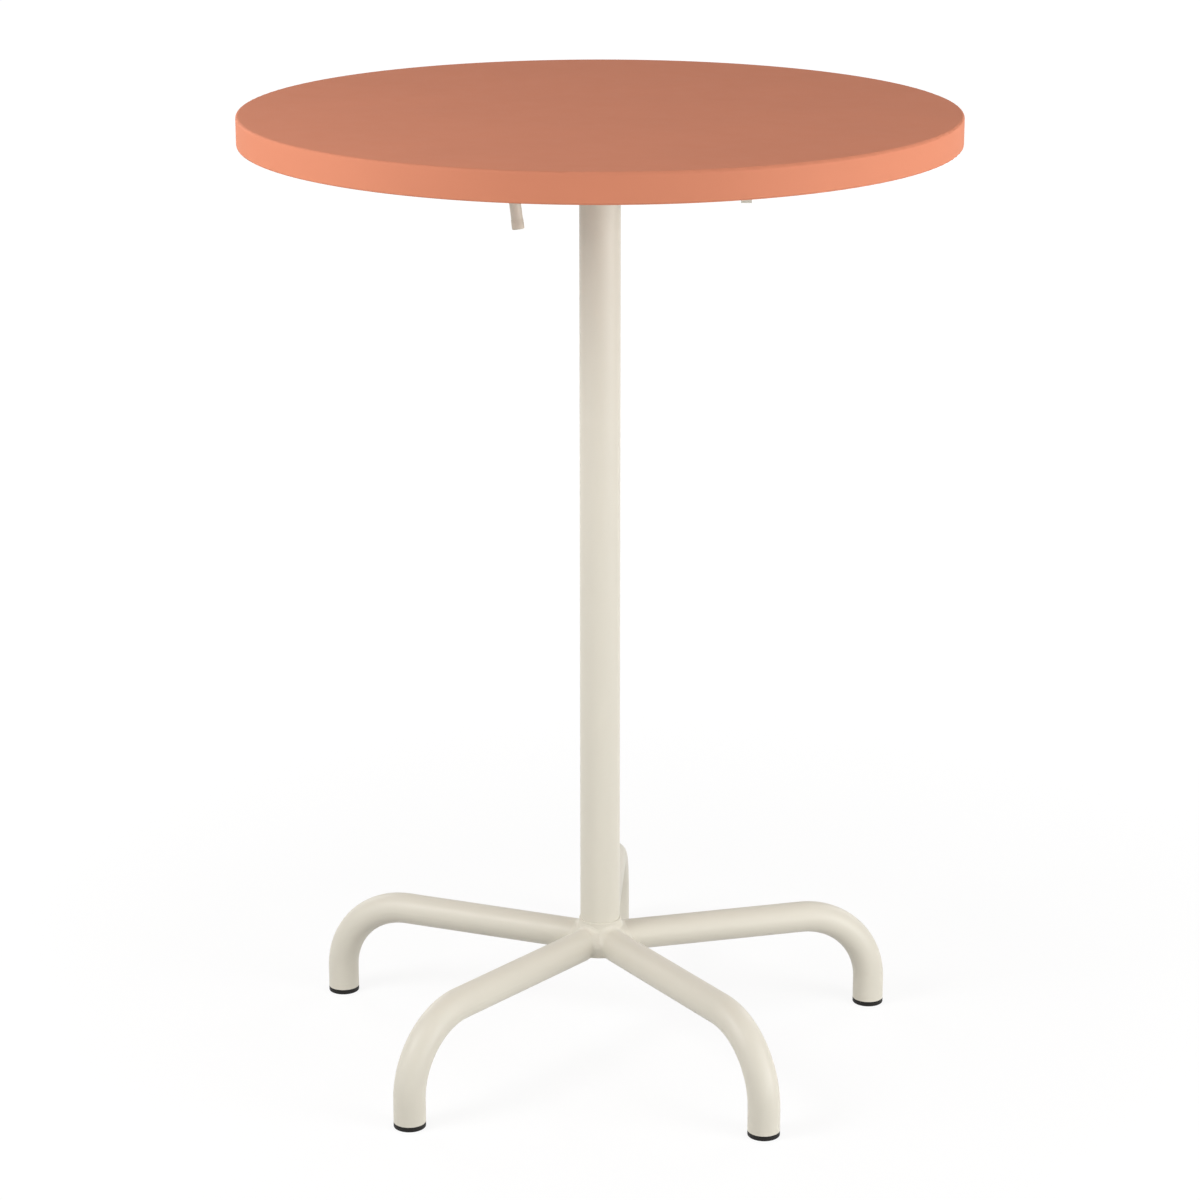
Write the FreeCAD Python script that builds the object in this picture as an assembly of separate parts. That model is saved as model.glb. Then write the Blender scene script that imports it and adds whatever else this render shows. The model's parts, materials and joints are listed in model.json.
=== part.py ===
"""Folding bar table: five-legged steel stand with a round pan top that tilts up on a rear hinge.

Millimetres. The origin is on the floor under the column axis, +X to the right, +Y to the back, +Z up.
The top hinges behind the column: its front edge swings up and it comes to rest upright behind the stand.
A latch hook on a bent lever rod holds it level. The model is drawn with the lever pulled.
"""
import FreeCAD
import Part
import math
import os

Vector = FreeCAD.Vector

# Overall sizes
table_height = 1101.7
top_diameter = 800.0

# Table top, a pressed sheet pan
sheet = 1.5
rim_height = 33.2
rim_edge_radius = 3.0
hem_width = 10.0
hem_radius = 2.0

# Stand
column_diameter = 46.5
column_wall = 2.0
hub_diameter = 78.0
hub_wall = 3.0
hub_height = 37.6
hub_lift = 7.45
hub_shoulder_drop = 23.6
hub_shoulder_radius = 8.0
hub_collar_wall = 1.3
hub_collar_height = 11.9
hub_edge = 0.8
leg_count = 5
leg_diameter = 36.5
leg_wall = 2.0
leg_axis_height = 119.4
leg_bend_radius = 87.4
foot_circle_radius = 337.4
glide_height = 6.0
glide_edge = 1.0
glide_plug_length = 18.0
glide_plug_wall = 2.5

# Screwed joint at the foot of the column
disc_thickness = 6.0
insert_length = 25.0
column_bolt_diameter = 10.0
column_bolt_head_flats = 16.0
column_bolt_head_height = 6.0
column_washer_diameter = 24.0
column_washer_thickness = 2.0

# Hinge behind the column
hinge_drop = 93.0
hinge_setback = 40.0
cross_tube_diameter = 26.0
cross_tube_wall = 3.0
pivot_plug_length = 30.0
pivot_thread_diameter = 10.0
pivot_thread_length = 22.0
pivot_shoulder_diameter = 12.0
pivot_head_diameter = 18.0
pivot_head_height = 6.0
pivot_head_edge = 1.0
pivot_socket_flats = 6.0
pivot_socket_depth = 3.0
bush_wall = 3.0
bush_flange_diameter = 25.0
bush_flange_thickness = 1.8
ear_thickness = 12.0
ear_end_radius = 16.0

# Head of the column
head_plate_thickness = 8.0
head_plate_width = 100.0
head_plate_front = 52.0
head_plate_overhang = 18.0
head_plate_corner = 12.0
gusset_thickness = 6.0
gusset_ring = 4.0
gusset_corner = 8.0
gusset_front = 18.0
gusset_depth = 34.0
pad_diameter = 20.0
pad_height = 6.2
pad_edge = 1.5
pad_spacing = 68.0

# Stems of the rubber pads and buffer
stem_diameter = 8.0
barb_diameter = 11.0
barb_length = 4.0

# Frame under the top
rail_spacing = 324.0
rail_length = 540.0
rail_width = 30.0
frame_depth = 30.0
rail_wall = 2.5
rail_corner = 4.0
rail_nose_length = 45.0
rail_nose_depth = 12.0
bar_width = 30.0
bar_wall = 2.0
front_bar_offset = 35.0
rear_bar_offset = 65.0
stud_diameter = 6.0
stud_spread = (230.0, 110.0)
stud_end = 2.0
nut_flats = 10.0
nut_height = 6.0
nut_flange_diameter = 13.0
nut_flange_thickness = 1.5

# Fold stop
arm_width = 24.0
arm_thickness = 6.0
arm_bend_radius = 10.0
arm_toe_setback = 14.0
buffer_diameter = 16.0
buffer_thickness = 6.0
buffer_edge = 1.0

# Latch
latch_swing = 22.0
lever_rod_diameter = 13.0
lever_rod_drop = 16.0
lever_rod_standoff = 12.0
lever_corner_x = -98.7
lever_right_x = 46.0
lever_bend_radius = 16.0
lever_reach = 104.8
lever_lean = 7.3
lever_hang = 6.0
cap_diameter = 13.8
cap_length = 11.0
cap_end = 2.5
cap_edge = 1.2
lug_thickness = 5.0
lug_radius = 11.0
lug_foot_depth = 14.0
lug_heel = 3.0
lug_left_x = -62.0
lug_right_x = 34.0
collar_diameter = 18.0
collar_length = 6.0
hook_width = 12.0
hook_eye_radius = 10.0
hook_bite = 8.0
hook_toe_depth = 10.5
hook_toe_tip = 4.0
hook_stem_front = 3.0
hook_shoulder = 3.0
hook_corner = 4.0
hook_edge = 1.0
spring_wire = 1.6
spring_turns = 5
spring_pitch = 2.5
spring_play = 0.8
spring_bend_radius = 2.4
spring_leg_rise = 45.0

# Clearances
fit_gap = 0.05
running_gap = 0.08
side_gap = 0.2
seat_gap = 0.3
hook_gap = 1.2

# A corner rounded by nearly all of its half width, and the smallest length that counts
full_round = 0.98
tiny = 1e-6

# Places worked out from the sizes above
top_radius = top_diameter / 2
column_radius = column_diameter / 2
column_bore_radius = column_radius - column_wall
hub_radius = hub_diameter / 2
hub_collar_radius = column_radius + fit_gap + hub_collar_wall
leg_radius = leg_diameter / 2
hub_bottom = leg_axis_height - leg_radius + hub_lift
hub_top = hub_bottom + hub_height
hub_shoulder_z = hub_top - hub_shoulder_drop
hub_collar_z = hub_top - hub_collar_height
column_bottom = hub_shoulder_z - hub_wall - side_gap
disc_bottom = column_bottom - disc_thickness
hinge_z = table_height - hinge_drop
frame_top = table_height - sheet
frame_bottom = frame_top - frame_depth
plate_top = frame_bottom - seat_gap - pad_height
plate_bottom = plate_top - head_plate_thickness
rail_x = rail_spacing / 2
front_bar_y = -front_bar_offset
rear_bar_y = rear_bar_offset
bar_length = rail_spacing - rail_width
ear_inner = rail_x - ear_thickness / 2
ear_outer = rail_x + ear_thickness / 2
bush_radius = pivot_shoulder_diameter / 2 + running_gap + bush_wall
cross_tube_end = ear_inner - bush_flange_thickness - side_gap
cross_tube_bore = cross_tube_diameter / 2 - cross_tube_wall
latch_face_y = front_bar_y - bar_width / 2
latch_y = latch_face_y - lever_rod_standoff
latch_z = table_height - lever_rod_drop
latch_axis = Vector(0, latch_y, latch_z)
lever_radius = lever_rod_diameter / 2

X_AXIS = Vector(1, 0, 0)
Z_AXIS = Vector(0, 0, 1)


def cylinder(radius, start, end):
    """Solid rod between two points."""
    axis = end - start
    return Part.makeCylinder(radius, axis.Length, start, axis)


def rod_z(radius, z_low, z_high, x=0.0, y=0.0):
    return cylinder(radius, Vector(x, y, z_low), Vector(x, y, z_high))


def rod_x(radius, x_low, x_high, y, z):
    return cylinder(radius, Vector(x_low, y, z), Vector(x_high, y, z))


def tube(outer_radius, inner_radius, start, end):
    return cylinder(outer_radius, start, end).cut(cylinder(inner_radius, start, end))


def rounded_wire(corners):
    """Closed wire through (point, radius) corners, each rounded by its own radius."""
    edges = []
    ends = []
    count = len(corners)
    for index, (point, radius) in enumerate(corners):
        before = (corners[index - 1][0] - point).normalize()
        after = (corners[(index + 1) % count][0] - point).normalize()
        if radius <= 0:
            ends.append((point, point))
            continue
        half_angle = before.getAngle(after) / 2
        reach = radius / math.tan(half_angle)
        middle = (before + after).normalize() * (radius / math.sin(half_angle) - radius)
        first = point + before * reach
        last = point + after * reach
        edges.append(Part.Arc(first, point + middle, last).toShape())
        ends.append((first, last))
    for index, (first, last) in enumerate(ends):
        start = ends[index - 1][1]
        if start.distanceToPoint(first) > tiny:
            edges.append(Part.LineSegment(start, first).toShape())
    return Part.Wire(Part.__sortEdges__(edges))


def plate_x(corners, x_centre, thickness):
    """Plate square to X from rounded (y, z, radius) corners."""
    points = [(Vector(x_centre - thickness / 2, y, z), radius) for y, z, radius in corners]
    return Part.Face(rounded_wire(points)).extrude(Vector(thickness, 0, 0))


def plate_z(corners, z_low, thickness):
    """Plate square to Z from rounded (x, y, radius) corners."""
    points = [(Vector(x, y, z_low), radius) for x, y, radius in corners]
    return Part.Face(rounded_wire(points)).extrude(Vector(0, 0, thickness))


def turned(corners, x=0.0, y=0.0):
    """Solid turned about a vertical axis from rounded (r, z, radius) corners."""
    points = [(Vector(r, 0, z), radius) for r, z, radius in corners]
    solid = Part.Face(rounded_wire(points)).revolve(Vector(0, 0, 0), Z_AXIS, 360)
    solid.translate(Vector(x, y, 0))
    return solid


def hexagon(flats, z_low, height, x=0.0, y=0.0):
    radius = flats / math.sqrt(3)
    points = []
    for corner in range(7):
        angle = math.pi / 3 * corner
        points.append(Vector(x + radius * math.cos(angle), y + radius * math.sin(angle), z_low))
    return Part.Face(Part.makePolygon(points)).extrude(Vector(0, 0, height))


def lay_along_x(shape, x, y, z, sign):
    """Move a shape built on +Z so that its axis runs along +X or -X from the given point."""
    laid = shape.copy()
    laid.rotate(Vector(0, 0, 0), Vector(0, 1, 0), 90 * sign)
    laid.translate(Vector(x, y, z))
    return laid


def pipe(path_edges, radius):
    """Round bar along a tangent path."""
    path = Part.Wire(path_edges)
    start = path_edges[0].valueAt(path_edges[0].FirstParameter)
    direction = path_edges[0].tangentAt(path_edges[0].FirstParameter)
    section = Part.Wire(Part.makeCircle(radius, start, direction))
    return path.makePipeShell([section], True, False)


def tabletop():
    """Pan: flat sheet, pressed edge, straight rim and an inward lip along its lower edge."""
    top = table_height
    low = table_height - rim_height
    lip = top_radius - hem_width
    return turned([
        (0, top, 0),
        (top_radius, top, rim_edge_radius),
        (top_radius, low, hem_radius),
        (lip, low, 0),
        (lip, low + sheet, 0),
        (top_radius - sheet, low + sheet, hem_radius - sheet),
        (top_radius - sheet, top - sheet, rim_edge_radius - sheet),
        (0, top - sheet, 0),
    ])


def column_tube():
    return tube(column_radius, column_bore_radius, Vector(0, 0, column_bottom), Vector(0, 0, plate_bottom))


def hub_sleeve():
    """Bell on the column's foot: a wide wall for the legs, a sloping shoulder and a collar."""
    bore = column_radius + fit_gap
    inner = hub_radius - hub_wall
    return turned([
        (inner, hub_bottom, 0),
        (hub_radius, hub_bottom, 0),
        (hub_radius, hub_shoulder_z, hub_shoulder_radius),
        (hub_collar_radius, hub_collar_z, 0),
        (hub_collar_radius, hub_top, hub_edge),
        (bore, hub_top, 0),
        (bore, hub_collar_z - hub_wall, 0),
        (inner, hub_shoulder_z - hub_wall, 0),
    ])


def hub_base_disc():
    disc = rod_z(hub_radius - hub_wall - fit_gap, disc_bottom, column_bottom)
    return disc.cut(rod_z(column_bolt_diameter / 2 + side_gap, disc_bottom, column_bottom))


def column_insert():
    top = column_bottom + insert_length
    insert = rod_z(column_bore_radius - fit_gap, column_bottom, top)
    return insert.cut(rod_z(column_bolt_diameter / 2 + fit_gap, column_bottom, top))


def column_washer():
    low = disc_bottom - column_washer_thickness
    washer = rod_z(column_washer_diameter / 2, low, disc_bottom)
    return washer.cut(rod_z(column_bolt_diameter / 2 + side_gap, low, disc_bottom))


def column_bolt():
    seat = disc_bottom - column_washer_thickness
    shank = rod_z(column_bolt_diameter / 2, seat, column_bottom + insert_length)
    low = seat - column_bolt_head_height
    return shank.fuse(hexagon(column_bolt_head_flats, low, column_bolt_head_height))


def leg_path():
    """Level run from the hub, a quarter bend and a straight drop to the glide."""
    bend_start = Vector(foot_circle_radius - leg_bend_radius, 0, leg_axis_height)
    bend_end = Vector(foot_circle_radius, 0, leg_axis_height - leg_bend_radius)
    half = leg_bend_radius * math.sqrt(0.5)
    bend_middle = Vector(bend_start.x + half, 0, bend_end.z + half)
    return [
        Part.LineSegment(Vector(0, 0, leg_axis_height), bend_start).toShape(),
        Part.Arc(bend_start, bend_middle, bend_end).toShape(),
        Part.LineSegment(bend_end, Vector(foot_circle_radius, 0, glide_height)).toShape(),
    ]


def leg():
    """Bent tube along +X, its inner end coped to the bell of the hub."""
    wall = hub_radius + fit_gap
    collar = hub_collar_radius + fit_gap
    top = hub_top + leg_diameter
    bell = turned([
        (0, 0, 0),
        (wall, 0, 0),
        (wall, hub_shoulder_z, hub_shoulder_radius),
        (collar, hub_collar_z, 0),
        (collar, top, 0),
        (0, top, 0),
    ])
    bent = pipe(leg_path(), leg_radius).cut(pipe(leg_path(), leg_radius - leg_wall))
    return bent.cut(bell)


def glide():
    """Plug with a flat foot, under the leg end on +X."""
    plug = leg_radius - leg_wall - fit_gap
    top = glide_height + glide_plug_length
    return turned([
        (0, 0, 0),
        (leg_radius, 0, glide_edge),
        (leg_radius, glide_height, 0),
        (plug, glide_height, 0),
        (plug, top, 0),
        (plug - glide_plug_wall, top, 0),
        (plug - glide_plug_wall, glide_height, 0),
        (0, glide_height, 0),
    ], x=foot_circle_radius)


def head_plate():
    """Plate on the column. Its front edge is rounded about the hinge, so the hook can pass it."""
    half = head_plate_width / 2
    rear = hinge_setback + head_plate_overhang
    front = -head_plate_front
    corners = [(-half, front, head_plate_corner), (half, front, head_plate_corner),
               (half, rear, head_plate_corner), (-half, rear, head_plate_corner)]
    plate = plate_z(corners, plate_bottom, head_plate_thickness)
    nose_radius = math.hypot(hinge_setback + head_plate_front, plate_bottom - hinge_z)
    plate = plate.common(rod_x(nose_radius, -head_plate_width, head_plate_width, hinge_setback, hinge_z))
    for side in (-1, 1):
        x = side * pad_spacing / 2
        hole = rod_z(stem_diameter / 2 + fit_gap, plate_bottom, plate_top, x, front_bar_y)
        plate = plate.cut(hole)
    return plate


def rest_pads():
    """Rubber pads pushed into the head plate, under the front bar."""
    barb_top = plate_bottom - fit_gap
    pad = turned([
        (0, plate_top + pad_height, 0),
        (0, barb_top - barb_length, 0),
        (stem_diameter / 2, barb_top - barb_length, 0),
        (barb_diameter / 2, barb_top, 0),
        (stem_diameter / 2, barb_top, 0),
        (stem_diameter / 2, plate_top, 0),
        (pad_diameter / 2, plate_top, 0),
        (pad_diameter / 2, plate_top + pad_height, pad_edge),
    ])
    pads = []
    for side in (-1, 1):
        moved = pad.copy()
        moved.translate(Vector(side * pad_spacing / 2, front_bar_y, 0))
        pads.append(moved)
    return Part.makeCompound(pads)


def gusset(side):
    """Side plate from the column to the cross tube, welded under the head plate."""
    ring = cross_tube_diameter / 2 + gusset_ring
    rear = hinge_setback + ring
    corners = [(-gusset_front, plate_bottom, gusset_corner),
               (-gusset_front, plate_bottom - gusset_depth, gusset_corner),
               (hinge_setback - ring, hinge_z - ring, gusset_corner),
               (rear, hinge_z - ring, ring * full_round),
               (rear, plate_bottom, gusset_corner)]
    centre = side * (column_radius + fit_gap + gusset_thickness / 2)
    plate = plate_x(corners, centre, gusset_thickness)
    bore = cross_tube_diameter / 2 + fit_gap
    return plate.cut(rod_x(bore, -cross_tube_end, cross_tube_end, hinge_setback, hinge_z))


def cross_tube():
    left = Vector(-cross_tube_end, hinge_setback, hinge_z)
    right = Vector(cross_tube_end, hinge_setback, hinge_z)
    return tube(cross_tube_diameter / 2, cross_tube_bore, left, right)


def pivot_plug(side):
    plug = rod_z(cross_tube_bore - fit_gap, -pivot_plug_length, 0)
    plug = plug.cut(rod_z(pivot_thread_diameter / 2 + fit_gap, -pivot_plug_length, 0))
    return lay_along_x(plug, side * cross_tube_end, hinge_setback, hinge_z, side)


def pivot_bolt(side):
    """Shoulder bolt that the ear turns on."""
    shoulder_length = ear_outer + side_gap - cross_tube_end
    head_top = shoulder_length + pivot_head_height
    bolt = turned([
        (0, -pivot_thread_length, 0),
        (pivot_thread_diameter / 2, -pivot_thread_length, 0),
        (pivot_thread_diameter / 2, 0, 0),
        (pivot_shoulder_diameter / 2, 0, 0),
        (pivot_shoulder_diameter / 2, shoulder_length, 0),
        (pivot_head_diameter / 2, shoulder_length, 0),
        (pivot_head_diameter / 2, head_top, pivot_head_edge),
        (0, head_top, 0),
    ])
    bolt = bolt.cut(hexagon(pivot_socket_flats, head_top - pivot_socket_depth, pivot_socket_depth))
    return lay_along_x(bolt, side * cross_tube_end, hinge_setback, hinge_z, side)


def bush(side):
    """Flanged bush pressed into the ear from its inner side."""
    sleeve = rod_z(bush_radius, 0, ear_thickness)
    flange = rod_z(bush_flange_diameter / 2, -bush_flange_thickness, 0)
    bore = rod_z(pivot_shoulder_diameter / 2 + running_gap, -bush_flange_thickness, ear_thickness)
    return lay_along_x(sleeve.fuse(flange).cut(bore), side * ear_inner, hinge_setback, hinge_z, side)


def ear(side):
    """Hanger bar welded under the rail web, with a round eye at the hinge."""
    top = frame_top - rail_wall
    low = hinge_z - ear_end_radius
    front = hinge_setback - ear_end_radius
    rear = hinge_setback + ear_end_radius
    eye = ear_end_radius * full_round
    corners = [(front, top, 0), (front, low, eye), (rear, low, eye), (rear, top, 0)]
    plate = plate_x(corners, side * rail_x, ear_thickness)
    return plate.cut(rod_x(bush_radius + fit_gap, -2 * rail_x, 2 * rail_x, hinge_setback, hinge_z))


def stud_places():
    return [(side * rail_x, sign * along) for side in (-1, 1) for along in stud_spread for sign in (-1, 1)]


def rail(side):
    """Channel open downwards, with its flanges cut back to a nose at both ends."""
    half = rail_length / 2
    low = frame_bottom
    nose = frame_top - rail_nose_depth
    outline = [(-half, frame_top, 0), (-half, nose, 0), (-half + rail_nose_length, low, 0),
               (half - rail_nose_length, low, 0), (half, nose, 0), (half, frame_top, 0)]
    body = plate_x(outline, side * rail_x, rail_width)
    ridges = [edge for edge in body.Edges
              if abs(edge.BoundBox.ZMin - frame_top) < tiny and edge.BoundBox.YLength > rail_width]
    body = body.makeFillet(rail_corner, ridges)
    hollow = Part.makeBox(rail_width - 2 * rail_wall, rail_length, frame_depth - rail_wall,
                          Vector(side * rail_x - rail_width / 2 + rail_wall, -half, low))
    body = body.cut(hollow)
    for x, y in stud_places():
        body = body.cut(rod_z(stud_diameter / 2 + side_gap, low, frame_top, x, y))
    return body


def bar(y):
    """Square tube between the rails."""
    half = bar_width / 2
    outer = [(y - half, frame_bottom, rail_corner), (y + half, frame_bottom, rail_corner),
             (y + half, frame_top, rail_corner), (y - half, frame_top, rail_corner)]
    inner = [(y - half + bar_wall, frame_bottom + bar_wall, rail_corner - bar_wall),
             (y + half - bar_wall, frame_bottom + bar_wall, rail_corner - bar_wall),
             (y + half - bar_wall, frame_top - bar_wall, rail_corner - bar_wall),
             (y - half + bar_wall, frame_top - bar_wall, rail_corner - bar_wall)]
    return plate_x(outer, 0, bar_length).cut(plate_x(inner, 0, bar_length))


def top_studs():
    """Studs welded to the sheet, through the rail webs."""
    length = rail_wall + nut_height + stud_end
    return Part.makeCompound([rod_z(stud_diameter / 2, frame_top - length, frame_top, x, y)
                              for x, y in stud_places()])


def stud_nuts():
    seat = frame_top - rail_wall
    nuts = []
    for x, y in stud_places():
        nut = hexagon(nut_flats, seat - nut_height, nut_height, x, y)
        nut = nut.fuse(rod_z(nut_flange_diameter / 2, seat - nut_flange_thickness, seat, x, y))
        nuts.append(nut.cut(rod_z(stud_diameter / 2 + fit_gap, seat - nut_height, seat, x, y)))
    return Part.makeCompound(nuts)


def arm_foot_bottom():
    """Height at which the buffer, 90 degrees later, just clears the back of the column."""
    return hinge_z - (hinge_setback - column_radius - seat_gap) + buffer_thickness


def buffer_y():
    return hinge_setback + arm_toe_setback + buffer_diameter / 2


def fold_arm():
    """Bent strap under the rear bar that carries the fold buffer."""
    rear = rear_bar_y + bar_width / 2 - rail_corner
    toe = hinge_setback + arm_toe_setback
    low = arm_foot_bottom()
    outer = arm_bend_radius
    corners = [(rear, frame_bottom, 0), (rear - arm_thickness, frame_bottom, 0),
               (rear - arm_thickness, low + arm_thickness, outer - arm_thickness),
               (toe, low + arm_thickness, 0), (toe, low, 0), (rear, low, outer)]
    hole = rod_z(stem_diameter / 2 + fit_gap, low, low + arm_thickness, 0, buffer_y())
    return plate_x(corners, 0, arm_width).cut(hole)


def fold_buffer():
    """Rubber buffer pushed into the arm's foot from below."""
    seat = arm_foot_bottom()
    radius = buffer_diameter / 2
    stem_top = seat + arm_thickness
    return turned([
        (0, seat - buffer_thickness, 0),
        (radius, seat - buffer_thickness, buffer_edge),
        (radius, seat, 0),
        (stem_diameter / 2, seat, 0),
        (stem_diameter / 2, stem_top, 0),
        (0, stem_top, 0),
    ], y=buffer_y())


def latch_lug(x):
    """Ear on the front bar that the lever rod turns in."""
    front = latch_y - lug_radius
    high = latch_z + lug_radius
    low = latch_z - lug_radius
    foot = latch_z - lug_foot_depth
    nose = lug_radius * full_round
    corners = [(front, high, nose), (front, low, nose), (latch_y, low, lug_heel),
               (latch_face_y, foot, 0), (latch_face_y, high, 0)]
    bore = rod_x(lever_radius + running_gap, x - lug_thickness, x + lug_thickness, latch_y, latch_z)
    return plate_x(corners, x, lug_thickness).cut(bore)


def handle_direction():
    """Handle of the pulled lever: a little forward of plumb, leaning in towards the column."""
    hang = math.radians(lever_hang)
    lean = math.radians(lever_lean)
    return Vector(math.sin(lean), -math.sin(hang) * math.cos(lean), -math.cos(hang) * math.cos(lean))


def lever_corner():
    return Vector(lever_corner_x, latch_y, latch_z)


def lever_tip():
    return lever_corner() + handle_direction() * (lever_reach / math.cos(math.radians(lever_lean)))


def lever_rod():
    """Round bar: straight pivot along X, one bend, then the handle."""
    corner = lever_corner()
    down = handle_direction()
    half_angle = X_AXIS.getAngle(down) / 2
    reach = lever_bend_radius / math.tan(half_angle)
    middle = (X_AXIS + down).normalize() * (lever_bend_radius / math.sin(half_angle) - lever_bend_radius)
    bend_start = corner + X_AXIS * reach
    bend_end = corner + down * reach
    path = [
        Part.LineSegment(Vector(lever_right_x, latch_y, latch_z), bend_start).toShape(),
        Part.Arc(bend_start, corner + middle, bend_end).toShape(),
        Part.LineSegment(bend_end, lever_tip() - down * cap_end).toShape(),
    ]
    return pipe(path, lever_radius)


def lever_cap():
    """Cap pushed over the end of the handle."""
    bore = lever_radius + fit_gap
    cap = turned([
        (0, cap_length, 0),
        (0, cap_length - cap_end, 0),
        (bore, cap_length - cap_end, 0),
        (bore, 0, 0),
        (cap_diameter / 2, 0, 0),
        (cap_diameter / 2, cap_length, cap_edge),
    ])
    down = handle_direction()
    cap.Placement = FreeCAD.Placement(lever_tip() - down * cap_length, FreeCAD.Rotation(Z_AXIS, down))
    return cap


def rod_collars():
    """Set collars that keep the lever rod in its lugs."""
    left = lug_left_x + lug_thickness / 2 + side_gap
    right = lug_right_x + lug_thickness / 2 + side_gap
    return Part.makeCompound([
        tube(collar_diameter / 2, lever_radius + fit_gap, Vector(x, latch_y, latch_z),
             Vector(x + collar_length, latch_y, latch_z))
        for x in (left, right)])


def hook_stem_rear():
    """Back of the hook's stem when hooked, measured from the rod axis."""
    return -head_plate_front - hook_gap - latch_y


def hook_toe_bottom():
    """Underside of the hooked toe, measured from the rod axis."""
    return plate_bottom - hook_gap - hook_toe_depth - latch_z


def latch_hook():
    """Hook with its toe under the head plate when locked, drawn swung forward by the latch's swing."""
    eye = hook_eye_radius
    rear = hook_stem_rear()
    tip = rear + hook_gap + hook_bite
    toe_top = plate_bottom - hook_gap - latch_z
    toe_low = hook_toe_bottom()
    nose = eye - hook_edge
    corners = [(-eye, eye, nose), (-eye, -eye, hook_corner), (-hook_stem_front, toe_low, hook_corner),
               (rear, toe_low, hook_corner), (tip, toe_top - hook_toe_tip, hook_edge),
               (tip, toe_top, hook_edge), (rear, toe_top, hook_edge),
               (rear, -hook_shoulder, hook_shoulder), (eye, 0, hook_shoulder), (eye, eye, nose)]
    hook = plate_x([(latch_y + y, latch_z + z, radius) for y, z, radius in corners], 0, hook_width)
    hook = hook.cut(rod_x(lever_radius + fit_gap, -hook_width, hook_width, latch_y, latch_z))
    hook.rotate(latch_axis, X_AXIS, -latch_swing)
    return hook


def tangent_arc(start, corner, end):
    """Arc between two points that touches the lines to the corner between them."""
    middle = (start + end) / 2
    turn_quarter = (corner - start).getAngle(end - start) / 2
    height = start.distanceToPoint(end) / 2 * math.tan(turn_quarter)
    return Part.Arc(start, middle + (corner - middle).normalize() * height, end).toShape()


def biarc(start, start_way, end, end_way):
    """Two tangent arcs from one point and direction to the next."""
    span = end - start
    spare = 2 * (1 - start_way.dot(end_way))
    along = span.dot(start_way + end_way)
    reach = (math.sqrt(along ** 2 + spare * span.dot(span)) - along) / spare
    first = start + start_way * reach
    last = end - end_way * reach
    joint = (first + last) / 2
    return [tangent_arc(start, first, joint), tangent_arc(joint, last, end)]


def latch_spring():
    """Torsion spring round the lever rod: one leg lies on the hook's stem, the other under the sheet."""
    coil_radius = lever_radius + spring_play + spring_wire / 2
    start_x = hook_width / 2 + side_gap + spring_wire + spring_bend_radius
    start_angle = math.pi - math.radians(latch_swing)
    end_angle = -math.pi / 2 - math.radians(spring_leg_rise)
    turn = start_angle - end_angle + spring_turns * 2 * math.pi

    def coil_point(share):
        angle = start_angle - turn * share
        x = start_x + spring_pitch * turn * share / (2 * math.pi)
        return latch_axis + Vector(x, coil_radius * math.cos(angle), coil_radius * math.sin(angle))

    def coil_way(share):
        angle = start_angle - turn * share
        rise = spring_pitch / (2 * math.pi * coil_radius) if 0 < share < 1 else 0
        return Vector(rise, math.sin(angle), -math.cos(angle)).normalize()

    quarters = round(turn / (math.pi / 2))
    points_per_quarter = 16
    coil = []
    for step in range(quarters):
        here, there = step / quarters, (step + 1) / quarters
        coil += biarc(coil_point(here), coil_way(here), coil_point(there), coil_way(there))

    stem_slope = (hook_eye_radius - hook_stem_front) / (hook_toe_bottom() + hook_eye_radius)
    stem_depth = -hook_eye_radius + (hook_eye_radius - coil_radius + spring_wire) / stem_slope
    up = coil_way(0)
    low = coil_point(0) + up * stem_depth
    leg_start = low + up * spring_bend_radius
    cross_start = low - X_AXIS * spring_bend_radius
    cross_end = Vector(-hook_width / 4, low.y, low.z)
    out = coil_way(1)
    reach = (frame_top - seat_gap - spring_wire / 2 - coil_point(1).z) / out.z
    path = [
        Part.LineSegment(cross_end, cross_start).toShape(),
        tangent_arc(cross_start, low, leg_start),
        Part.LineSegment(leg_start, coil_point(0)).toShape(),
        *coil,
        Part.LineSegment(coil_point(1), coil_point(1) + out * reach).toShape(),
    ]
    count = quarters * points_per_quarter
    points = [coil_point(k / count) for k in range(count + 1)]
    half_turn = 2 * points_per_quarter
    near = min(a.distanceToPoint(b) for i, a in enumerate(points) for b in points[i + half_turn:])
    print("latch_spring least gap to itself", round(near - spring_wire, 2))
    return pipe(path, spring_wire / 2)


def write(name, shape):
    if not shape.isValid():
        raise ValueError(name + " is not a valid shape")
    shape.exportStep(os.path.join("parts", name + ".step"))


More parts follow.
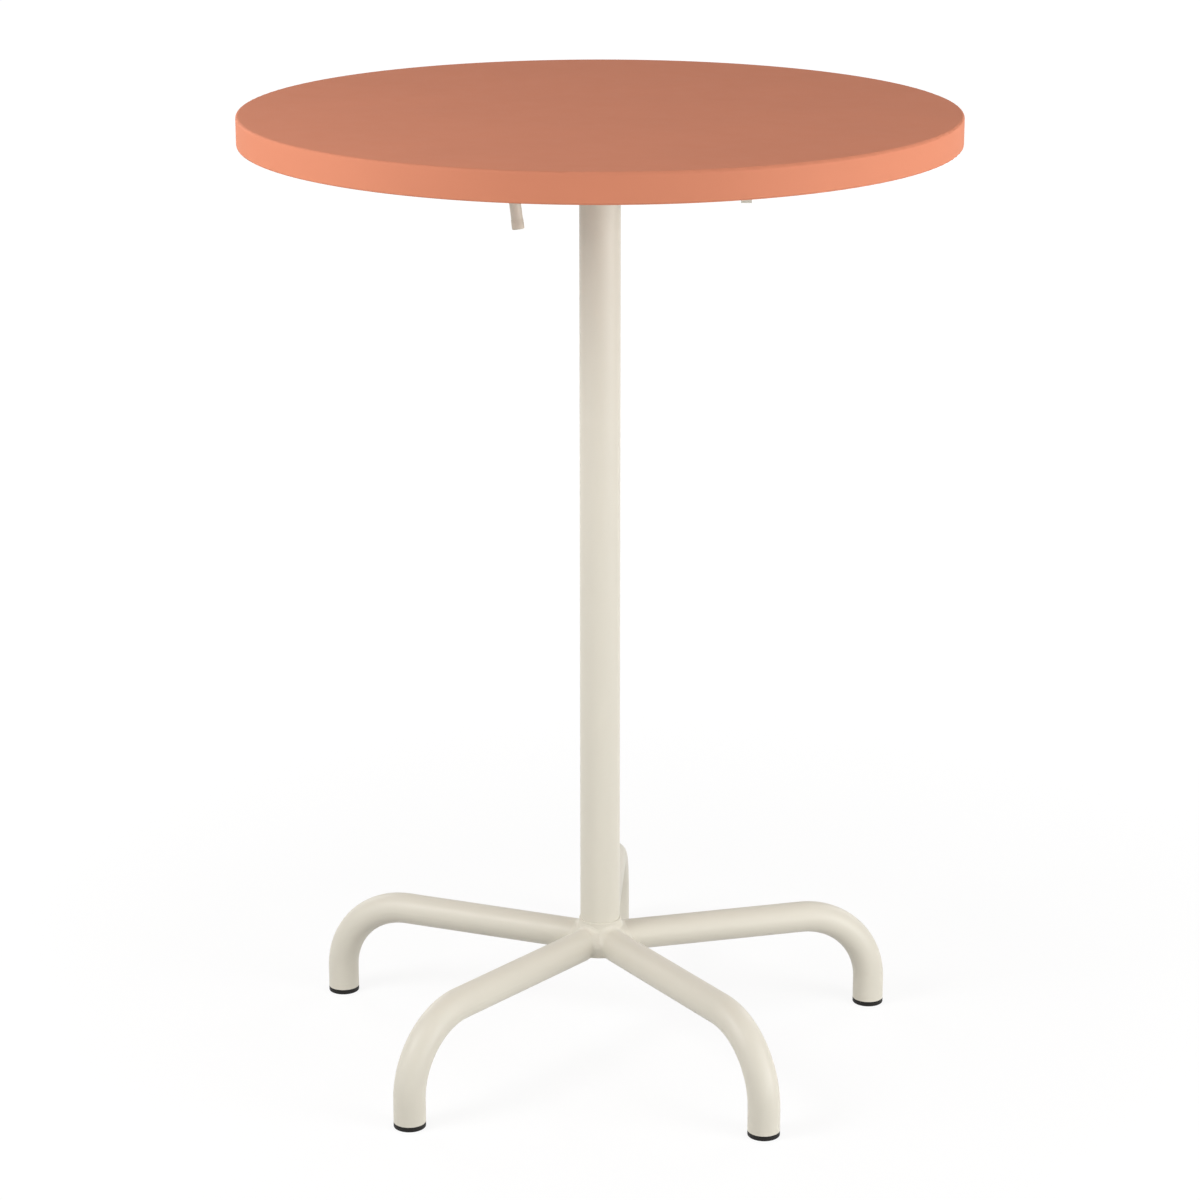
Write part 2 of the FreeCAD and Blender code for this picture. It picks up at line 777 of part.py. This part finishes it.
def main():
    os.makedirs("parts", exist_ok=True)
    pieces = {
        "tabletop": tabletop(),
        "column_tube": column_tube(),
        "hub_sleeve": hub_sleeve(),
        "hub_base_disc": hub_base_disc(),
        "column_insert": column_insert(),
        "column_washer": column_washer(),
        "column_bolt": column_bolt(),
        "head_plate": head_plate(),
        "rest_pads": rest_pads(),
        "cross_tube": cross_tube(),
        "front_bar": bar(front_bar_y),
        "rear_bar": bar(rear_bar_y),
        "top_studs": top_studs(),
        "stud_nuts": stud_nuts(),
        "fold_arm": fold_arm(),
        "fold_buffer": fold_buffer(),
        "latch_lug_left": latch_lug(lug_left_x),
        "latch_lug_right": latch_lug(lug_right_x),
        "lever_rod": lever_rod(),
        "lever_cap": lever_cap(),
        "rod_collars": rod_collars(),
        "latch_hook": latch_hook(),
        "latch_spring": latch_spring(),
    }
    for side, word in ((-1, "left"), (1, "right")):
        pieces["gusset_" + word] = gusset(side)
        pieces["pivot_plug_" + word] = pivot_plug(side)
        pieces["pivot_bolt_" + word] = pivot_bolt(side)
        pieces["pivot_bush_" + word] = bush(side)
        pieces["hinge_ear_" + word] = ear(side)
        pieces["rail_" + word] = rail(side)
    leg_shape = leg()
    glide_shape = glide()
    leg_names = ["back", "left", "front_left", "front_right", "right"]
    for index in range(leg_count):
        name = leg_names[index] if leg_count == len(leg_names) else str(index + 1)
        for word, shape in (("leg_", leg_shape), ("glide_", glide_shape)):
            placed = shape.copy()
            placed.rotate(Vector(0, 0, 0), Z_AXIS, 90 + 360 / leg_count * index)
            pieces[word + name] = placed
    for name, shape in pieces.items():
        write(name, shape)


main()
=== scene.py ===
"""Looks of the folding bar table: finishes, welds, floor, light and camera.

Metres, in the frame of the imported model: origin on the floor under the column, +X right, +Y back, +Z up.
"""

import json
import math

import bmesh
import bpy
import numpy as np
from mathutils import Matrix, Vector

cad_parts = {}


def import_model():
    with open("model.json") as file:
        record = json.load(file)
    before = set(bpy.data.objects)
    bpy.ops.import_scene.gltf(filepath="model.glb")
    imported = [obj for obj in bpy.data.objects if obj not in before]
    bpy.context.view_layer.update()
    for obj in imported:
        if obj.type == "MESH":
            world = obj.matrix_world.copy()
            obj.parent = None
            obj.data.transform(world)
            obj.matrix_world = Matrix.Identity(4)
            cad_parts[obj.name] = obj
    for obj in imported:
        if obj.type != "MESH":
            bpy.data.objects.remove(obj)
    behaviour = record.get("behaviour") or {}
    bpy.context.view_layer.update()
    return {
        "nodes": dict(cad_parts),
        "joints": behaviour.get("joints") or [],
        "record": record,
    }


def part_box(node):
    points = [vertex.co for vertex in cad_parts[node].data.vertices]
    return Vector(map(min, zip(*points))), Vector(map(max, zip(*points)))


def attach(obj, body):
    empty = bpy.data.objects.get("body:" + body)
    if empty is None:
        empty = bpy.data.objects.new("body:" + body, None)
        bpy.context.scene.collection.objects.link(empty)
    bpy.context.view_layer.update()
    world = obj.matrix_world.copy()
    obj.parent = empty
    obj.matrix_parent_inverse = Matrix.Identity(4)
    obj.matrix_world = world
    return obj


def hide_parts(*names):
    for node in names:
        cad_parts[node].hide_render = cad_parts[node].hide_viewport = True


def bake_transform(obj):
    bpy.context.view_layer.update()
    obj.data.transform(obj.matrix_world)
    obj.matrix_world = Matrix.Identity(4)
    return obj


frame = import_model()
nodes = frame["nodes"]
record = frame["record"]
joints = {joint["name"]: joint for joint in frame["joints"]}
latch_axis = Vector(joints["latch_lever"]["pos_m"])

# Camera of the photograph
camera_distance = 3.7539
camera_height = 1.6815
camera_turn = math.radians(3.2352)
camera_pitch = math.radians(16.9529)
camera_lens = 102.375
camera_sensor = 36.0

# Colours of the finishes, linear
terracotta = (0.684, 0.252, 0.147)
cream = (0.717, 0.684, 0.590)
cap_cream = (0.700, 0.665, 0.575)
glide_black = (0.014, 0.013, 0.012)
rubber_black = (0.016, 0.016, 0.016)
zinc = (0.62, 0.62, 0.60)
spring_grey = (0.30, 0.30, 0.31)
nylon = (0.80, 0.78, 0.72)

# Finishes: drift of the colour as a share of it, grain in cells per metre, depth of the grain in metres,
# and specular level of plastic and rubber
coat_drift = 0.012
coat_drift_grain = 9.0
coat_shine_grain = 40.0
coat_peel_grain = 700.0
coat_peel_depth = 0.00006
plastic_drift = 0.06
plastic_drift_grain = 120.0
plastic_shine_grain = 300.0
plastic_specular = 0.2
plastic_depth = 0.00008
plating_drift = 0.08
plating_drift_grain = 260.0
plating_shine_grain = 500.0
plating_spot_grain = 900.0
plating_depth = 0.00003

# The part of a noise's values that a spread maps onto its range
noise_low = 0.3
noise_high = 0.7

# Floor: half its side, its colour as it lights the object and under the shadow, and its glow to the
# camera, which rises from one distance from the column to another
floor_reach = 12.0
floor_bounce = (0.55, 0.54, 0.53)
floor_shade = (0.14, 0.14, 0.14)
glow_inner_distance = 0.6
glow_outer_distance = 3.0
glow_inner = 0.87
glow_outer = 1.0

# Light: the world's strength and tint, and each lamp's place, the height on the column's axis that it
# faces, its width, height and power
world_light = 0.255
world_tint = (1.0, 0.99, 0.97)
lamps = {
    "left_high": ((-2.4, -1.6, 2.6), 0.75, 1.6, 1.6, 20),
    "left_low": ((-2.8, -1.2, 0.9), 0.75, 1.4, 1.8, 14),
    "right_low": ((2.8, -1.2, 0.9), 0.75, 1.4, 1.8, 46),
    "near_left": ((-1.5, -0.9, 1.7), 0.2, 0.8, 0.8, 14.5),
    "near_right": ((1.5, -0.9, 1.7), 0.2, 0.8, 0.8, 6),
    "foot_left": ((-1.6, -2.2, 0.5), 0.15, 1.0, 0.8, 4),
    "foot_right": ((1.6, -2.2, 0.5), 0.15, 1.0, 0.8, 10),
    "overhead": ((0.0, 0.2, 3.4), 0.75, 2.6, 2.6, 4),
    "back_left": ((-2.2, 2.6, 1.8), 0.75, 1.6, 1.8, 20),
    "back_right": ((2.2, 2.6, 1.8), 0.75, 1.6, 1.8, 20),
}

# Welds between the hub and the legs: fillet at a leg's middle height and on top of it, pitch of the net
# and its margin in cells, least height that is kept, depth of the shell and reach from the axis
side_weld_radius = 0.0012
top_weld_radius = 0.005
weld_pitch = 0.0008
weld_margin_cells = 4
weld_least = 0.00002
weld_depth = 0.0012
weld_reach = 0.062

# Least outward slope of a face on the hub's outer side, and digits to which its corners are told apart
outward_least = 0.05
outline_digits = 6

# How welds settle on their surface: step of the slope, rounds and least slope
settle_step = 0.00005
settle_rounds = 6
settle_least_slope = 1e-9

# Weld beads of the head, the frame under the top and the latch
bead_radius = 0.0021
small_bead_radius = 0.0014
bead_ripple = 0.07
bead_ripple_length = 0.0024
bead_step = 0.0006
bead_least_steps = 4
bead_sides = 10
bead_tip = 0.3
ring_points = 72
gusset_weld_margin = 0.012
gusset_weld_spread = 0.0095
gusset_weld_length = 0.03
gusset_weld_sink = 0.0008
bar_corner = 0.004
ear_weld_margin = 0.002
lug_weld_margin = 0.002

# Distance within which the corners of the latch spring are merged
spring_merge = 0.00002

# Axes of the frame, and its two sides
x_way, y_way, z_way = (1, 0, 0), (0, 1, 0), (0, 0, 1)
sides = ((-1, "left"), (1, "right"))


# Materials

def new_material(name):
    """Material with one surface shader; returns it with its node tree and the shader."""
    material = bpy.data.materials.new(name)
    material.use_nodes = True
    tree = material.node_tree
    return material, tree, tree.nodes["Principled BSDF"]


def noise(tree, scale, detail=2.0):
    """Noise texture in object space, scale in cells per metre."""
    place = tree.nodes.new("ShaderNodeTexCoord")
    texture = tree.nodes.new("ShaderNodeTexNoise")
    texture.inputs["Scale"].default_value = scale
    texture.inputs["Detail"].default_value = detail
    tree.links.new(place.outputs["Object"], texture.inputs["Vector"])
    return texture.outputs["Fac"]


def spread(tree, value, low, high):
    """Maps the middle of a noise onto a range."""
    ramp = tree.nodes.new("ShaderNodeMapRange")
    ramp.inputs["From Min"].default_value = noise_low
    ramp.inputs["From Max"].default_value = noise_high
    ramp.inputs["To Min"].default_value = low
    ramp.inputs["To Max"].default_value = high
    tree.links.new(value, ramp.inputs["Value"])
    return ramp.outputs["Result"]


def vary_colour(tree, shader, colour, amount, scale):
    """Base colour that drifts a little lighter and darker over the surface."""
    mix = tree.nodes.new("ShaderNodeMix")
    mix.data_type = "RGBA"
    mix.inputs["A"].default_value = (*[c * (1 - amount) for c in colour], 1)
    mix.inputs["B"].default_value = (*[min(1, c * (1 + amount)) for c in colour], 1)
    tree.links.new(spread(tree, noise(tree, scale), 0, 1), mix.inputs["Factor"])
    tree.links.new(mix.outputs["Result"], shader.inputs["Base Color"])


def add_bump(tree, shader, height, depth, strength):
    """Raises the surface's shading by a height map."""
    bump = tree.nodes.new("ShaderNodeBump")
    bump.inputs["Strength"].default_value = strength
    bump.inputs["Distance"].default_value = depth
    tree.links.new(height, bump.inputs["Height"])
    tree.links.new(bump.outputs["Normal"], shader.inputs["Normal"])


def powder_coat(name, colour, roughness, specular, change=0.03):
    """Matt to satin powder coat: even colour, fine orange peel."""
    material, tree, shader = new_material(name)
    vary_colour(tree, shader, colour, coat_drift, coat_drift_grain)
    shader.inputs["Specular IOR Level"].default_value = specular
    shine = spread(tree, noise(tree, coat_shine_grain), roughness - change, roughness + change)
    tree.links.new(shine, shader.inputs["Roughness"])
    add_bump(tree, shader, noise(tree, coat_peel_grain, detail=3.0), coat_peel_depth, strength=0.5)
    return material


def moulded(name, colour, roughness, grain, change=0.05):
    """Moulded plastic or rubber with a fine grain."""
    material, tree, shader = new_material(name)
    vary_colour(tree, shader, colour, plastic_drift, plastic_drift_grain)
    shader.inputs["Specular IOR Level"].default_value = plastic_specular
    shine = spread(tree, noise(tree, plastic_shine_grain), roughness - change, roughness + change)
    tree.links.new(shine, shader.inputs["Roughness"])
    add_bump(tree, shader, noise(tree, grain, detail=4.0), plastic_depth, strength=0.6)
    return material


def plated(name, colour, roughness, change=0.08):
    """Plated steel: metal with faint clouds and spots."""
    material, tree, shader = new_material(name)
    vary_colour(tree, shader, colour, plating_drift, plating_drift_grain)
    shader.inputs["Metallic"].default_value = 1.0
    cloud = noise(tree, plating_shine_grain, detail=4.0)
    shine = spread(tree, cloud, roughness - change, roughness + change)
    tree.links.new(shine, shader.inputs["Roughness"])
    add_bump(tree, shader, noise(tree, plating_spot_grain, detail=4.0), plating_depth, strength=0.4)
    return material


materials = {
    "top_coat": powder_coat("top_coat", terracotta, roughness=0.72, specular=0.10),
    "frame_coat": powder_coat("frame_coat", cream, roughness=0.42, specular=0.45),
    "glide_plastic": moulded("glide_plastic", glide_black, roughness=0.55, grain=1400.0),
    "cap_plastic": moulded("cap_plastic", cap_cream, roughness=0.45, grain=1600.0),
    "zinc_steel": plated("zinc_steel", zinc, roughness=0.34),
    "spring_steel": plated("spring_steel", spring_grey, roughness=0.30),
    "black_rubber": moulded("black_rubber", rubber_black, roughness=0.70, grain=900.0),
    "bush_nylon": moulded("bush_nylon", nylon, roughness=0.40, grain=1500.0),
}


def dress_cad():
    """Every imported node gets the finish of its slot."""
    for part in record["subparts"]:
        mesh = nodes[part["node"]].data
        mesh.materials.clear()
        mesh.materials.append(materials[part["material_slot"]])


# Pieces

def add_piece(name, points, faces, body, slot):
    """New mesh that rides on a body, in the finish of a slot."""
    mesh = bpy.data.meshes.new(name)
    mesh.from_pydata([tuple(p) for p in points], [], [tuple(f) for f in faces])
    mesh.polygons.foreach_set("use_smooth", [True] * len(mesh.polygons))
    mesh.materials.append(materials[slot])
    piece = bpy.data.objects.new(name, mesh)
    bpy.context.scene.collection.objects.link(piece)
    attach(piece, body)
    return piece


def round_union(a, b, radius):
    """Union of two distances with a round fillet where they meet."""
    corner = np.hypot(np.maximum(radius - a, 0), np.maximum(radius - b, 0))
    return np.maximum(radius, np.minimum(a, b)) - corner


def hub_outline():
    """Outer profile of the hub as (radius, height) corners, closed along its axis."""
    mesh = nodes["hub_sleeve"].data
    corners = set()
    for face in mesh.polygons:
        if face.normal.xy.dot(face.center.xy) > outward_least * face.center.xy.length:
            for index in face.vertices:
                place = mesh.vertices[index].co
                corners.add((round(place.z, outline_digits), round(place.xy.length, outline_digits)))
    profile = [(radius, height) for height, radius in sorted(corners)]
    return np.array([(0, profile[0][1]), *profile, (0, profile[-1][1])])


def profile_distance(radius, height, outline):
    """Signed distance to a closed outline in radius and height."""
    place = np.stack([radius, height], -1)
    nearest = np.full(radius.shape, np.inf)
    outside = np.ones(radius.shape)
    for here, there in zip(outline, np.roll(outline, 1, 0)):
        edge = there - here
        if not edge.any():
            continue
        from_here = place - here
        share = np.clip(from_here @ edge / (edge @ edge), 0, 1)
        nearest = np.minimum(nearest, ((from_here - share[..., None] * edge) ** 2).sum(-1))
        above = height >= here[1]
        below = height < there[1]
        left = edge[0] * from_here[..., 1] > edge[1] * from_here[..., 0]
        crossed = (above & below & left) | ~(above | below | left)
        outside = np.where(crossed, -outside, outside)
    return outside * np.sqrt(nearest)


def hub_and_legs(points, outline):
    """Distance to the welded hub and legs, and to the same pieces with no welds."""
    leg_low, leg_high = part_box("leg_back")
    leg_radius = (leg_high.x - leg_low.x) / 2
    leg_height = leg_high.z - leg_radius
    x, y, z = points[..., 0], points[..., 1], points[..., 2]
    hub = profile_distance(np.hypot(x, y), z, outline)
    legs = np.full(x.shape, np.inf)
    leg_nodes = [name for name in nodes if name.startswith("leg_")]
    for index in range(len(leg_nodes)):
        angle = math.pi / 2 + 2 * math.pi * index / len(leg_nodes)
        along = x * math.cos(angle) + y * math.sin(angle)
        across = y * math.cos(angle) - x * math.sin(angle)
        leg = np.maximum(np.hypot(across, z - leg_height) - leg_radius, -along)
        legs = np.minimum(legs, leg)
    rise = np.clip((z - leg_height) / leg_radius, 0, 1)
    weld_radius = side_weld_radius + (top_weld_radius - side_weld_radius) * rise ** 2 * (3 - 2 * rise)
    return round_union(hub, legs, weld_radius), np.minimum(hub, legs)


def surface_net(distance, low, high, pitch):
    """Quads of the zero level of a distance function inside a box."""
    axes = [np.arange(a, b + pitch, pitch) for a, b in zip(low, high)]
    inside = distance(np.stack(np.meshgrid(*axes, indexing="ij"), -1)) < 0
    cells = np.array(inside.shape) - 1
    corners = []
    for i, j, k in np.ndindex(2, 2, 2):
        corners.append(inside[i:i + cells[0], j:j + cells[1], k:k + cells[2]])
    count = np.sum(corners, 0)
    mixed = np.argwhere((count > 0) & (count < 8))
    index = np.full(cells, -1)
    index[tuple(mixed.T)] = np.arange(len(mixed))
    points = np.array(low) + (mixed + 0.5) * pitch
    faces = []
    for axis in range(3):
        side, other = (axis + 1) % 3, (axis + 2) % 3
        change = np.diff(inside.astype(np.int8), axis=axis)
        for way in (-1, 1):
            edges = np.argwhere(change == way)
            edges = edges[(edges[:, side] > 0) & (edges[:, other] > 0)]
            edges = edges[(edges[:, side] < cells[side]) & (edges[:, other] < cells[other])]
            ring = []
            for a, b in ((0, 0), (1, 0), (1, 1), (0, 1)):
                cell = edges.copy()
                cell[:, side] -= a
                cell[:, other] -= b
                ring.append(index[tuple(cell.T)])
            faces.append(np.stack(ring if way == -1 else ring[::-1], 1))
    return points, np.concatenate(faces)


def settle(points, distance):
    """Moves points onto the zero level along its slope."""
    steps = settle_step * np.eye(3)
    for _ in range(settle_rounds):
        changes = [distance(points + step) - distance(points - step) for step in steps]
        slope = np.stack(changes, -1) / (2 * settle_step)
        reach = distance(points) / np.maximum((slope ** 2).sum(-1), settle_least_slope)
        points = points - slope * reach[:, None]
    return points


def hub_welds():
    """Smooth painted fillets between the bell of the hub and the legs."""
    low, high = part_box("hub_sleeve")
    margin = weld_margin_cells * weld_pitch
    corner_low = (-weld_reach, -weld_reach, low.z - margin)
    corner_high = (weld_reach, weld_reach, high.z + margin)
    outline = hub_outline()

    def filled(points):
        return hub_and_legs(points, outline)[0]

    points, faces = surface_net(filled, corner_low, corner_high, weld_pitch)
    points = settle(points, filled)
    proud = hub_and_legs(points, outline)[1] > weld_least
    faces = faces[proud[faces].any(1)]
    used, faces = np.unique(faces, return_inverse=True)
    piece = add_piece("hub_welds", points[used], faces.reshape(-1, 4), "stand", "frame_coat")
    shell = piece.modifiers.new("thickness", "SOLIDIFY")
    shell.thickness = weld_depth
    shell.offset = -1


def bead(path, normal, radius, closed=False):
    """Rippled round bead along a flat line of points: its points and faces."""
    path = np.array(path + path[:1] if closed else path, float)
    length = np.concatenate([[0], np.cumsum(np.linalg.norm(np.diff(path, axis=0), axis=1))])
    count = max(bead_least_steps, round(length[-1] / bead_step))
    along = np.linspace(0, length[-1], count + 1)
    line = np.stack([np.interp(along, length, path[:, axis]) for axis in range(3)], 1)
    if closed:
        line = line[:-1]
        along = along[:-1]
        ways = np.roll(line, -1, 0) - np.roll(line, 1, 0)
    else:
        ways = np.gradient(line, axis=0)
    ways /= np.linalg.norm(ways, axis=1)[:, None]
    across = np.cross(ways, normal)
    size = radius * (1 + bead_ripple * np.abs(np.sin(math.pi * along / bead_ripple_length)))
    if not closed:
        from_end = np.minimum(along, along[-1] - along)
        size *= np.sqrt(np.clip(1 - (1 - from_end / radius).clip(0) ** 2, bead_tip ** 2, 1))
    angles = 2 * math.pi * np.arange(bead_sides) / bead_sides
    spokes = np.cos(angles)[:, None] * np.array(normal)
    rings = line[:, None] + size[:, None, None] * (spokes + np.sin(angles)[:, None] * across[:, None])
    corner = np.arange(bead_sides)
    following = (corner + 1) % bead_sides
    faces = []
    for ring in range(len(line) if closed else len(line) - 1):
        here = ring * bead_sides
        there = (ring + 1) % len(line) * bead_sides
        quads = [here + corner, here + following, there + following, there + corner]
        faces += np.stack(quads, 1).tolist()
    if not closed:
        faces.append(corner[::-1].tolist())
        faces.append((corner + (len(line) - 1) * bead_sides).tolist())
    return rings.reshape(-1, 3).tolist(), faces


def ring_path(centre, first, second, radius):
    """Circle of points in the plane of two axes."""
    centre, first, second = Vector(centre), Vector(first), Vector(second)
    angles = [2 * math.pi * k / ring_points for k in range(ring_points)]
    return [list(centre + radius * (math.cos(a) * first + math.sin(a) * second)) for a in angles]


def add_beads(name, beads, body):
    """One piece from several beads, each (path, normal, radius, closed)."""
    points = []
    faces = []
    for path, normal, radius, closed in beads:
        more_points, more_faces = bead(path, normal, radius, closed)
        faces += [[index + len(points) for index in face] for face in more_faces]
        points += more_points
    add_piece(name, points, faces, body, "frame_coat")


def head_welds():
    """Column to head plate, gussets to the plate and to the column, cross tube to the gussets."""
    column_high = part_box("column_tube")[1]
    radius = column_high.x
    under_plate = column_high.z
    tube_low, tube_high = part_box("cross_tube")
    tube_radius = (tube_high.z - tube_low.z) / 2
    tube_centre = (tube_low + tube_high) / 2
    beads = [(ring_path((0, 0, under_plate), x_way, y_way, radius), z_way, bead_radius, True)]
    for side, word in sides:
        low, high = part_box("gusset_" + word)
        inner, outer = sorted((low.x, high.x), key=abs)
        front = low.y + gusset_weld_margin
        rear = high.y - gusset_weld_margin
        path = [(outer, front, under_plate), (outer, rear, under_plate)]
        beads.append((path, z_way, bead_radius, False))
        for x in (inner, outer):
            place = (x, tube_centre.y, tube_centre.z)
            beads.append((ring_path(place, y_way, z_way, tube_radius), x_way, bead_radius, True))
        x = side * (abs(inner) - gusset_weld_sink)
        for y in (-gusset_weld_spread, gusset_weld_spread):
            path = [(x, y, under_plate), (x, y, under_plate - gusset_weld_length)]
            beads.append((path, x_way, bead_radius, False))
    add_beads("head_welds", beads, "stand")


def frame_welds():
    """Bars to rails, hinge ears to rails, latch lugs to the front bar, fold arm to the rear bar."""
    beads = []
    for bar in ("front_bar", "rear_bar"):
        low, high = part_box(bar)
        for x in (low.x, high.x):
            path = [(x, low.y, high.z - bar_corner), (x, low.y, low.z + bar_corner)]
            path += [(x, low.y + bar_corner, low.z), (x, high.y - bar_corner, low.z)]
            path += [(x, high.y, low.z + bar_corner), (x, high.y, high.z - bar_corner)]
            beads.append((path, x_way, bead_radius, False))
    for _, word in sides:
        low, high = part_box("hinge_ear_" + word)
        for x in (low.x, high.x):
            path = [(x, low.y + ear_weld_margin, high.z), (x, high.y - ear_weld_margin, high.z)]
            beads.append((path, z_way, bead_radius, False))
        low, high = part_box("latch_lug_" + word)
        for x in (low.x, high.x):
            path = [(x, high.y, low.z + lug_weld_margin), (x, high.y, high.z - lug_weld_margin)]
            beads.append((path, y_way, small_bead_radius, False))
    low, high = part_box("fold_arm")
    beads.append(([(low.x, high.y, high.z), (high.x, high.y, high.z)], z_way, bead_radius, False))
    add_beads("frame_welds", beads, "top")


def latch_welds():
    """Hook to lever rod, on both faces of the hook."""
    low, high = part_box("latch_hook")
    rod_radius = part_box("lever_rod")[1].z - latch_axis.z
    beads = []
    for x in (low.x, high.x):
        path = ring_path((x, latch_axis.y, latch_axis.z), y_way, z_way, rod_radius)
        beads.append((path, x_way, small_bead_radius, True))
    add_beads("latch_welds", beads, "latch")


def return_spring():
    """The latch spring as one mesh with its corners merged, in spring steel, in place of the imported one,
    which is hidden.
    """
    work = bmesh.new()
    work.from_mesh(nodes["latch_spring"].data)
    bmesh.ops.remove_doubles(work, verts=work.verts, dist=spring_merge)
    mesh = bpy.data.meshes.new("return_spring")
    work.to_mesh(mesh)
    work.free()
    mesh.polygons.foreach_set("use_smooth", [True] * len(mesh.polygons))
    mesh.materials.clear()
    mesh.materials.append(materials["spring_steel"])
    piece = bpy.data.objects.new("return_spring", mesh)
    bpy.context.scene.collection.objects.link(piece)
    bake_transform(piece)
    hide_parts("latch_spring")


# Stage

def stage_material(name):
    """Pale floor: white to the camera, with the object's shadow on it."""
    material = bpy.data.materials.new(name)
    material.use_nodes = True
    tree = material.node_tree
    tree.nodes.clear()
    output = tree.nodes.new("ShaderNodeOutputMaterial")
    plain = tree.nodes.new("ShaderNodeBsdfDiffuse")
    plain.inputs["Color"].default_value = (*floor_bounce, 1)
    shadow = tree.nodes.new("ShaderNodeBsdfDiffuse")
    shadow.inputs["Color"].default_value = (*floor_shade, 1)
    glow = tree.nodes.new("ShaderNodeEmission")
    place = tree.nodes.new("ShaderNodeTexCoord")
    distance = tree.nodes.new("ShaderNodeVectorMath")
    distance.operation = "LENGTH"
    tree.links.new(place.outputs["Object"], distance.inputs[0])
    rise = tree.nodes.new("ShaderNodeMapRange")
    rise.inputs["From Min"].default_value = glow_inner_distance
    rise.inputs["From Max"].default_value = glow_outer_distance
    rise.inputs["To Min"].default_value = glow_inner
    rise.inputs["To Max"].default_value = glow_outer
    tree.links.new(distance.outputs["Value"], rise.inputs["Value"])
    tree.links.new(rise.outputs["Result"], glow.inputs["Strength"])
    seen = tree.nodes.new("ShaderNodeAddShader")
    tree.links.new(shadow.outputs[0], seen.inputs[0])
    tree.links.new(glow.outputs[0], seen.inputs[1])
    mix = tree.nodes.new("ShaderNodeMixShader")
    tree.links.new(seen_rays(tree), mix.inputs["Fac"])
    tree.links.new(plain.outputs[0], mix.inputs[1])
    tree.links.new(seen.outputs[0], mix.inputs[2])
    tree.links.new(mix.outputs[0], output.inputs["Surface"])
    return material


def floor():
    """Plain flat floor under the feet."""
    reach = floor_reach
    mesh = bpy.data.meshes.new("floor")
    corners = [(-reach, -reach, 0), (reach, -reach, 0), (reach, reach, 0), (-reach, reach, 0)]
    mesh.from_pydata(corners, [], [(0, 1, 2, 3)])
    mesh.materials.append(stage_material("floor"))
    plane = bpy.data.objects.new("floor", mesh)
    bpy.context.scene.collection.objects.link(plane)


def seen_rays(tree):
    """1 for rays that show the background: straight to the camera, in a reflection or through glass."""
    path = tree.nodes.new("ShaderNodeLightPath")
    seen = path.outputs["Is Camera Ray"]
    for ray in ("Is Glossy Ray", "Is Transmission Ray"):
        either = tree.nodes.new("ShaderNodeMath")
        either.operation = "MAXIMUM"
        tree.links.new(seen, either.inputs[0])
        tree.links.new(path.outputs[ray], either.inputs[1])
        seen = either.outputs[0]
    return seen


def world():
    """White backdrop to the camera and in reflections, soft even light otherwise."""
    scene_world = bpy.data.worlds.new("studio")
    scene_world.use_nodes = True
    tree = scene_world.node_tree
    tree.nodes.clear()
    output = tree.nodes.new("ShaderNodeOutputWorld")
    light = tree.nodes.new("ShaderNodeBackground")
    light.inputs["Color"].default_value = (*world_tint, 1)
    light.inputs["Strength"].default_value = world_light
    white = tree.nodes.new("ShaderNodeBackground")
    white.inputs["Color"].default_value = (1, 1, 1, 1)
    white.inputs["Strength"].default_value = 1.0
    mix = tree.nodes.new("ShaderNodeMixShader")
    tree.links.new(seen_rays(tree), mix.inputs["Fac"])
    tree.links.new(light.outputs[0], mix.inputs[1])
    tree.links.new(white.outputs[0], mix.inputs[2])
    tree.links.new(mix.outputs[0], output.inputs["Surface"])
    bpy.context.scene.world = scene_world


def softbox(name, place, target, width, height, power):
    """Rectangular lamp that faces a point."""
    lamp = bpy.data.lights.new(name, "AREA")
    lamp.shape = "RECTANGLE"
    lamp.size = width
    lamp.size_y = height
    lamp.energy = power
    box = bpy.data.objects.new(name, lamp)
    box.location = place
    box.rotation_euler = (Vector(target) - Vector(place)).to_track_quat("-Z", "Y").to_euler()
    bpy.context.scene.collection.objects.link(box)


def lights():
    """All the lamps, each facing a point on the column's axis."""
    for name, (place, aim, width, height, power) in lamps.items():
        softbox(name, place, (0, 0, aim), width, height, power)


def camera():
    """Camera where the photograph was taken from."""
    data = bpy.data.cameras.new("camera")
    data.sensor_fit = "HORIZONTAL"
    data.sensor_width = camera_sensor
    data.lens = camera_lens
    view = bpy.data.objects.new("camera", data)
    turn = camera_turn
    view.location = (camera_distance * math.sin(turn), -camera_distance * math.cos(turn), camera_height)
    view.rotation_euler = (math.pi / 2 - camera_pitch, 0, turn)
    bpy.context.scene.collection.objects.link(view)
    bpy.context.scene.camera = view


dress_cad()
hub_welds()
head_welds()
frame_welds()
latch_welds()
return_spring()
floor()
world()
lights()
camera()
bpy.context.scene.view_settings.view_transform = "Standard"
